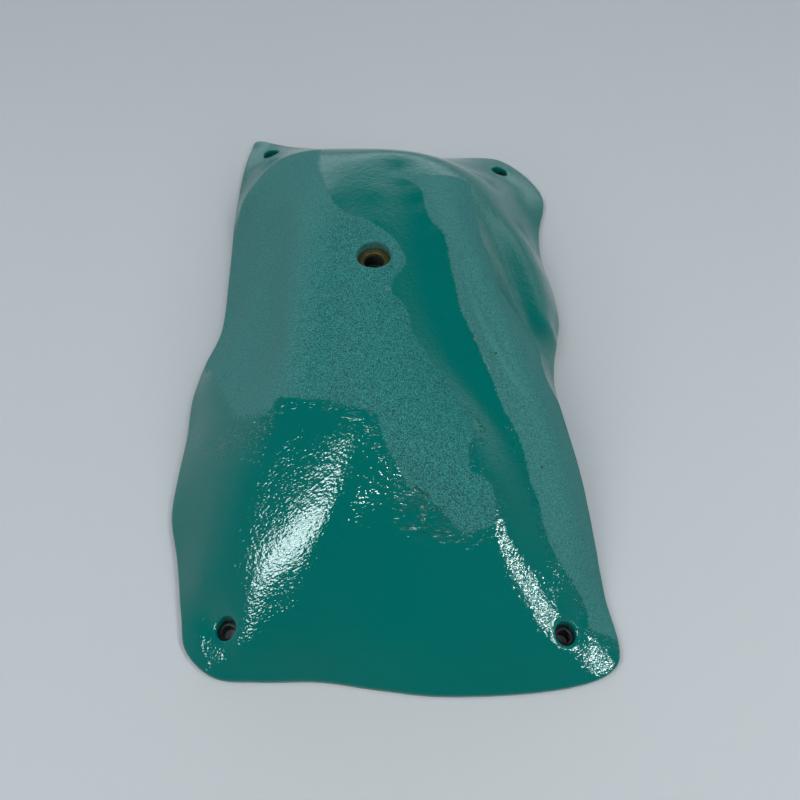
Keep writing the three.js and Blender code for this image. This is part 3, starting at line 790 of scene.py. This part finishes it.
def make_shell():
    skin = Skin()

    # Outer face, its border a little inside the outline
    outer_places = grid_in(drawn_in(foot_outline, RIM_ROUND), *OUTER_CELLS)
    flat = outer_places.reshape(-1, 2)
    outer = skin.add(
        np.c_[flat, drape.outer(flat)].reshape(*outer_places.shape[:2], 3),
        grip=grip_millimetres(flat), coarse=grain_shading_strength(flat), crease=crease_sheen_share(flat),
    )
    inner_places = grid_in(drawn_in(foot_outline, RIM_WIDTH), *INNER_CELLS)
    flat = inner_places.reshape(-1, 2)
    inner = skin.add(np.c_[flat, drape.inner(flat)].reshape(*inner_places.shape[:2], 3))
    outer_keep = np.ones((outer.shape[0] - 1, outer.shape[1] - 1), bool)
    inner_keep = np.ones((inner.shape[0] - 1, inner.shape[1] - 1), bool)

    def recess(centre, recess_radius, bore_radius, lip, seat, under, grip, tint, wall_rings):
        """The lip, the wall, the seat and the bore of one hole, down to the underside."""
        radius = recess_radius + lip
        ring, turns, block = open_round_hole(
            skin, outer, outer_places, centre, radius, OUTER_MARGIN, drape.outer, 0,
            grip=grip_millimetres, coarse=grain_shading_strength,
        )
        outer_keep[block] = False
        start = circle(centre, radius, turns, 0)
        height, across, along = drape.read(start[:, :2]).T
        angle = 2 * math.pi * turns
        slope = across * np.cos(angle) + along * np.sin(angle)
        start[:, 2] = height
        corner = circle(centre, recess_radius, turns, height - slope * lip)
        mouth = circle(centre, recess_radius, turns, height - slope * lip - lip)
        rings = [ring]
        for points in rounded(start, corner, mouth, LIP_RINGS):
            rings.append(skin.add(points, grip=grip, coarse=LIP_GRAIN_SHADING))
        # The depth mark grows down the wall to the seat and is highest in the bore: it sets the
        # painted shade
        for share in np.linspace(0, 1, wall_rings + 1)[1:]:
            points = mouth.copy()
            points[:, 2] += (seat - mouth[:, 2]) * share
            rings.append(skin.add(points, grip=grip, coarse=HOLE_GRAIN_SHADING, depth=share * tint))
        for level, dark in ((seat, tint), (seat - BORE_STEP, BORE_DEPTH), (under, BORE_DEPTH)):
            points = circle(centre, bore_radius, turns, level)
            rings.append(skin.add(points, grip=grip, depth=dark))
        skin.band(rings, 0)
        return rings[-1], turns

    def closing(centre, bore, turns, foot_radius, wall_radius, fillet, under):
        """The boss or cup under a hole, from its bore out to the inside of the shell."""
        ring, around, block = open_round_hole(
            skin, inner, inner_places, centre, wall_radius + fillet, INNER_MARGIN, drape.inner, 1,
        )
        inner_keep[block] = False
        start = circle(centre, wall_radius + fillet, around, 0)
        start[:, 2] = drape.inner(start[:, :2])
        corner = circle(centre, wall_radius, around, 0)
        corner[:, 2] = drape.inner(corner[:, :2])
        low = circle(centre, wall_radius, around, corner[:, 2] - fillet)
        low[:, :2] += (circle(centre, foot_radius, around, 0)[:, :2] - low[:, :2]) * 0.15
        rings = [ring]
        for points in rounded(start, corner, low, FILLET_RINGS):
            rings.append(skin.add(points))
        for height_share in (0.5, 1):
            foot = circle(centre, foot_radius, around, under)
            rings.append(skin.add(low + (foot - low) * height_share))
        skin.band(rings, 1)
        skin.join(rings[-1], around, bore, turns, 1)

    bolt = node_middle("bolt_washer")
    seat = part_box("bolt_washer")[0].z
    boss_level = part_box("bolt_pillar")[1].z + FIT_GAP
    bore, turns = recess(
        bolt, BOLT_RECESS / 2, BOLT_BORE / 2, BOLT_LIP, seat, boss_level,
        BOLT_WALL_GRIP, BOLT_SEAT_DEPTH, BOLT_WALL_RINGS,
    )
    boss = BOSS_DIAMETER / 2
    closing(bolt, bore, turns, boss, boss + BOSS_DRAFT * 0.75, BOSS_FILLET, boss_level)
    for corner in CORNERS:
        centre = node_middle("screw_washer_" + corner)
        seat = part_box("screw_washer_" + corner)[0].z
        cup = SCREW_RECESS / 2 + CUP_WALL
        bore, turns = recess(
            centre, SCREW_RECESS / 2, SCREW_BORE / 2, SCREW_LIP, seat, seat - CUP_FLOOR,
            SCREW_WALL_GRIP, SCREW_SEAT_DEPTH, SCREW_WALL_RINGS,
        )
        closing(centre, bore, turns, cup - FIT_GAP, cup, FIT_GAP, seat - CUP_FLOOR)

    skin.sheet(outer, 0, outer_keep)
    skin.sheet(inner, 1, inner_keep)

    # Rim: a rounded edge, the edge itself, and the flat that lies on the wall
    border_ids, edge = border(outer), border(outer_places)
    along = np.roll(edge, -1, 0) - np.roll(edge, 1, 0)
    along /= np.linalg.norm(along, axis=1)[:, None]
    outward = np.stack([along[:, 1], -along[:, 0]], 1)
    wide = edge + outward * RIM_ROUND
    start = np.c_[edge, drape.outer(edge)]
    corner = np.c_[wide, drape.outer(wide)]
    low = corner - [0, 0, RIM_ROUND]
    grip = grip_millimetres(edge)
    rings = [border_ids]
    for points in rounded(start, corner, low, RIM_RINGS):
        rings.append(skin.add(points, grip=grip))
    rings.append(skin.add(np.c_[wide, np.full(len(wide), RIM_CHAMFER)], grip=-GRIP_LIMIT))
    skin.band(rings, 0)
    foot = skin.add(np.c_[edge + outward * (RIM_ROUND - RIM_CHAMFER), np.zeros(len(edge))])
    skin.band([rings[-1], foot], 1)
    inside = border(inner_places)
    sole = skin.add(np.c_[inside, np.zeros(len(inside))])
    skin.join(foot, border_shares(*outer.shape), sole, border_shares(*inner.shape), 1)
    skin.band([sole, border(inner)], 1)
    return skin.piece("shell_skin", [teal, laminate], 40)


shell = make_shell()
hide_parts("shell")
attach(shell, "root")


# Turned pieces

def turned_piece(name, centre, bore, profile, finish):
    """A closed profile of (radius, height) points turned about +Z, its bore in painted shade."""
    skin = Skin()
    turns = np.arange(TURNED_SIDES) / TURNED_SIDES
    rings = []
    for radius, height in profile:
        rings.append(skin.add(circle(centre, radius, turns, height), bored=float(radius == bore)))
    skin.band([*rings, rings[0]], 0)
    return skin.piece(name, [finish])


def make_pillar():
    """The cast column between the boss and the wall, bored for the bolt."""
    low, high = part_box("bolt_pillar")
    bore, column, head, foot = BOLT_BORE / 2, 13.5 * MM, BOSS_DIAMETER / 2, (high.x - low.x) / 2
    foot_height, head_height, fillet, bevel = 5 * MM, 6 * MM, 8 * MM, 0.6 * MM
    fillet_steps = 10
    profile = [(bore + bevel, 0), (foot - bevel, 0), (foot, bevel), (foot, foot_height - bevel),
               (foot - bevel, foot_height)]
    for k in range(fillet_steps + 1):
        angle = math.pi / 2 * k / fillet_steps
        profile.append((
            column + fillet * (1 - math.sin(angle)), foot_height + fillet * (1 - math.cos(angle)),
        ))
    profile += [
        (column, high.z - head_height - (head - column)), (head, high.z - head_height),
        (head, high.z - bevel), (head - bevel, high.z), (bore + bevel, high.z),
        (bore, high.z - bevel), (bore, bevel),
    ]
    return turned_piece("pillar_casting", node_middle("bolt_pillar"), bore, profile, resin)


pillar = make_pillar()
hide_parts("bolt_pillar")
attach(pillar, "root")


def make_block(corner):
    """The puck cast round a screw cup, cut off by the rim and by the inside of the shell."""
    centre = node_middle("screw_washer_" + corner)
    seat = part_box("screw_washer_" + corner)[0].z
    bore = SCREW_BORE / 2
    cup = SCREW_RECESS / 2 + CUP_WALL + FIT_GAP
    cup_level = seat - CUP_FLOOR - FIT_GAP
    turns = np.arange(TURNED_SIDES) / TURNED_SIDES
    inside = drawn_in(foot_outline, RIM_WIDTH + FIT_GAP)
    ray = circle(centre, 1, turns, 0)[:, :2] - centre
    steps = np.linspace(0.2, 1, 60) * BLOCK_DIAMETER / 2
    places = centre + ray[:, None] * steps[:, None]
    within = inside_depth(places.reshape(-1, 2), inside).reshape(len(turns), -1) > 0
    reach = np.where(within, steps, steps[0]).max(1)
    skin = Skin()

    def ring(radius, height, bored=0):
        places = centre + ray * np.broadcast_to(radius, len(turns))[:, None]
        if height is None:
            height = np.maximum(drape.inner(places) - FIT_GAP, cup_level)
        return skin.add(np.c_[places, np.broadcast_to(height, len(turns))], bored=bored)

    soft = 0.5 * MM
    rings = [ring(bore + soft, 0), ring(reach - soft, 0), ring(reach, soft)]
    rings += [ring(reach, None), ring((reach + cup) / 2, None), ring(cup, None)]
    # The bore's rings are marked for painted shade.
    rings += [ring(cup, cup_level), ring(bore, cup_level, 1), ring(bore, soft, 1)]
    skin.band([*rings, rings[0]], 0)
    return skin.piece("block_casting_" + corner, [resin])


for corner in CORNERS:
    block = make_block(corner)
    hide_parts("corner_block_" + corner)
    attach(block, "root")


# Washers, made by one tree and set out on the seats

WASHER_SIDES = 72
WASHER_EDGE_STEPS = 3
WASHER_SOFT_EDGE = 0.25 * MM


def washer_tree():
    """A ring with softened edges, set on each point of the mesh it is given."""
    tree = bpy.data.node_groups.new("ring washers", "GeometryNodeTree")
    face = tree.interface
    face.new_socket("Seats", in_out="INPUT", socket_type="NodeSocketGeometry")
    for name in ("Outside", "Bore", "Thickness", "Soft Edge"):
        face.new_socket(name, in_out="INPUT", socket_type="NodeSocketFloat")
    face.new_socket("Finish", in_out="INPUT", socket_type="NodeSocketMaterial")
    face.new_socket("Washers", in_out="OUTPUT", socket_type="NodeSocketGeometry")

    def add(kind, output=None, inputs=None, **settings):
        """Makes a node, wires or sets its inputs, and gives one of its outputs."""
        node = tree.nodes.new(kind)
        for name, value in settings.items():
            setattr(node, name, value)
        for name, value in (inputs or {}).items():
            if isinstance(value, bpy.types.NodeSocket):
                tree.links.new(value, node.inputs[name])
            else:
                node.inputs[name].default_value = value
        return node.outputs[output] if output is not None else node

    given = add("NodeGroupInput").outputs
    outside, bore = given["Outside"], given["Bore"]
    diameters = add("ShaderNodeMath", 0, {0: outside, 1: bore}, operation="ADD")
    middle = add("ShaderNodeMath", 0, {0: diameters, 1: 1 / 4}, operation="MULTIPLY")
    widths = add("ShaderNodeMath", 0, {0: outside, 1: bore}, operation="SUBTRACT")
    width = add("ShaderNodeMath", 0, {0: widths, 1: 1 / 2}, operation="MULTIPLY")
    path = add("GeometryNodeCurvePrimitiveCircle", "Curve", {
        "Resolution": WASHER_SIDES, "Radius": middle,
    })
    section = add("GeometryNodeCurvePrimitiveQuadrilateral", "Curve", {
        "Width": width, "Height": given["Thickness"],
    })
    softened = add("GeometryNodeFilletCurve", "Curve", {
        "Count": WASHER_EDGE_STEPS, "Curve": section, "Radius": given["Soft Edge"],
    }, mode="POLY")
    ring = add("GeometryNodeCurveToMesh", "Mesh", {"Curve": path, "Profile Curve": softened})
    set_out = add("GeometryNodeInstanceOnPoints", "Instances", {
        "Points": given["Seats"], "Instance": ring,
    })
    real = add("GeometryNodeRealizeInstances", "Geometry", {"Geometry": set_out})
    plated = add("GeometryNodeSetMaterial", "Geometry", {
        "Geometry": real, "Material": given["Finish"],
    })
    add("NodeGroupOutput", inputs={"Washers": plated})
    return tree


def grown(name, mesh, tree, smooth_angle=35, **inputs):
    """The plain mesh that a tree makes from a mesh, as a piece of its own."""
    seed = bpy.data.objects.new(name, mesh)
    bpy.context.scene.collection.objects.link(seed)
    modifier = seed.modifiers.new("tree", "NODES")
    modifier.node_group = tree
    for socket in tree.interface.items_tree:
        key = socket.name.replace(" ", "_").lower()
        if socket.in_out == "INPUT" and key in inputs:
            modifier[socket.identifier] = inputs[key]
    evaluated = seed.evaluated_get(bpy.context.evaluated_depsgraph_get())
    made = bpy.data.meshes.new_from_object(evaluated)
    seed.modifiers.remove(modifier)
    seed.data = made
    turn_outward(made, smooth_angle)
    return seed


def seats_of(name, nodes):
    """A mesh of loose points, one at the middle of each node."""
    points = []
    for node in nodes:
        low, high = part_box(node)
        points.append(tuple((low + high) / 2))
    mesh = bpy.data.meshes.new(name)
    mesh.from_pydata(points, [], [])
    return mesh


washers = washer_tree()
screw_nodes = ["screw_washer_" + corner for corner in CORNERS]
for name, nodes, bore, slot, finish in (
    ("bolt_ring", ["bolt_washer"], BOLT_BORE, "yellow_zinc", yellow_zinc),
    ("screw_rings", screw_nodes, SCREW_BORE, "grey_zinc", grey_zinc),
):
    low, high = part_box(nodes[0])
    ring = grown(
        name, seats_of(name, nodes), washers, outside=high.x - low.x, bore=bore,
        thickness=high.z - low.z, soft_edge=WASHER_SOFT_EDGE, finish=finish,
    )
    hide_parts(*nodes)
    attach(ring, "root")


# Floor, lights and camera

BENCH = (0, -0.1, 0.05)
DAYLIGHT = (0.82, 1.0, 0.99)
SKYLIGHT = (0.93, 1.0, 1.05)
PANE_GAP = 0.11

# Windows, and a lamp that is a guess, which only show as reflections: low end, high end, width,
# power and panes
WINDOWS = {
    "left": ((-0.775, -0.912, 0.810), (-0.698, -0.379, 1.073), 0.43, 22, 3),
    "right": ((1.128, -0.408, 0.670), (0.755, -0.941, 0.752), 0.048, 7, 1),
}
BENCH_LAMP = ((0.0, -0.66, 1.2), (0.16, -0.66, 1.2), 0.14)
BENCH_LAMP_POWER = 6.5

# The windows' and the ceiling's plain light, which shows in no reflection: ends, and power or span
FILLS = {
    "left": ((-0.94, -0.88, 0.69), (-0.63, -0.16, 1.21), 5),
    "right": ((0.86, -1.01, 0.63), (0.70, -0.10, 1.18), 7),
}
FILL_WIDTH = 0.17
CEILINGS = {"left": (-1.5, -0.5), "right": (0.5, 1.5)}
CEILING_HEIGHT, CEILING_WIDTH, CEILING_POWER = 2.0, 1.8, 13.5

CAMERA_LENS = 36
CAMERA_PLACE = (0.0075, -0.266, 0.420)
CAMERA_TILT = 30


def make_floor():
    mesh = bpy.data.meshes.new("floor")
    half = 4
    corners = [(-half, -half, 0), (half, -half, 0), (half, half, 0), (-half, half, 0)]
    mesh.from_pydata(corners, [], [(0, 1, 2, 3)])
    finish = Finish("pale table")
    cloud = finish.noise(1.6, 3)
    mesh.materials.append(finish.set(
        Base_Color=finish.mix(cloud, (0.465, 0.49, 0.505, 1), (0.505, 0.53, 0.545, 1)),
        Roughness=0.75,
        IOR=1.25,
    ))
    floor = bpy.data.objects.new("floor", mesh)
    bpy.context.scene.collection.objects.link(floor)


def window_light(name, low_end, high_end, width, target, power):
    """A long lit rectangle between two ends, turned to face a target."""
    low_end, high_end = Vector(low_end), Vector(high_end)
    middle = (low_end + high_end) / 2
    along = (high_end - low_end).normalized()
    back = middle - Vector(target)
    back = (back - along * back.dot(along)).normalized()
    light = bpy.data.lights.new(name, "AREA")
    light.shape = "RECTANGLE"
    light.size, light.size_y = (high_end - low_end).length, width
    light.energy = power
    thing = bpy.data.objects.new(name, light)
    bpy.context.scene.collection.objects.link(thing)
    turn = Matrix((along, back.cross(along), back)).transposed()
    thing.matrix_world = Matrix.Translation(middle) @ turn.to_4x4()
    return thing


def make_lights():
    for side, (low_end, high_end, width, power, panes) in WINDOWS.items():
        low_end, high_end = Vector(low_end), Vector(high_end)
        for pane in range(panes):
            start = low_end.lerp(high_end, (pane + PANE_GAP) / panes)
            end = low_end.lerp(high_end, (pane + 1 - PANE_GAP) / panes)
            name = f"{side} window pane {pane + 1}"
            reflected(window_light(name, start, end, width, BENCH, power / panes))
    reflected(window_light("bench lamp", *BENCH_LAMP, BENCH, BENCH_LAMP_POWER))
    for side, (low_end, high_end, power) in FILLS.items():
        fill = window_light(side + " fill", low_end, high_end, FILL_WIDTH, BENCH, power)
        fill.visible_glossy = False
    for side, (low_x, high_x) in CEILINGS.items():
        ceiling = window_light(
            side + " ceiling", (low_x, 0, CEILING_HEIGHT), (high_x, 0, CEILING_HEIGHT),
            CEILING_WIDTH, (0, 0, 0), CEILING_POWER,
        )
        ceiling.visible_glossy = False
        ceiling.data.color = SKYLIGHT


def reflected(light):
    """Makes a light show only in reflections."""
    light.visible_diffuse = False
    light.data.color = DAYLIGHT


def make_room():
    """A pale room: bright walls near the table's level, a dark ceiling, and a shaded near side."""
    room = bpy.data.worlds.new("room")
    room.use_nodes = True
    finish = Finish("room", room)
    across, along, up = finish.parts(finish.place)
    back = along.step(0.25, 0.95)
    left = (across * -1).step(0.2, 0.95)
    pale = (1 - up.step(0.05, 0.80)) * (0.10 + back * 0.76 + left * 0.13)
    color = finish.mix(pale, (0.020, 0.022, 0.024, 1), (1.9, 2.12, 2.28, 1))
    finish.feed(finish.shader.inputs["Color"], color)
    bpy.context.scene.world = room


def make_camera():
    lens = bpy.data.cameras.new("camera")
    lens.lens = lens.sensor_width = CAMERA_LENS
    camera = bpy.data.objects.new("camera", lens)
    camera.location = CAMERA_PLACE
    camera.rotation_euler = (math.radians(CAMERA_TILT), 0, 0)
    bpy.context.scene.collection.objects.link(camera)
    bpy.context.scene.camera = camera


make_floor()
make_lights()
make_room()
make_camera()
bpy.context.scene.view_settings.view_transform = "Standard"
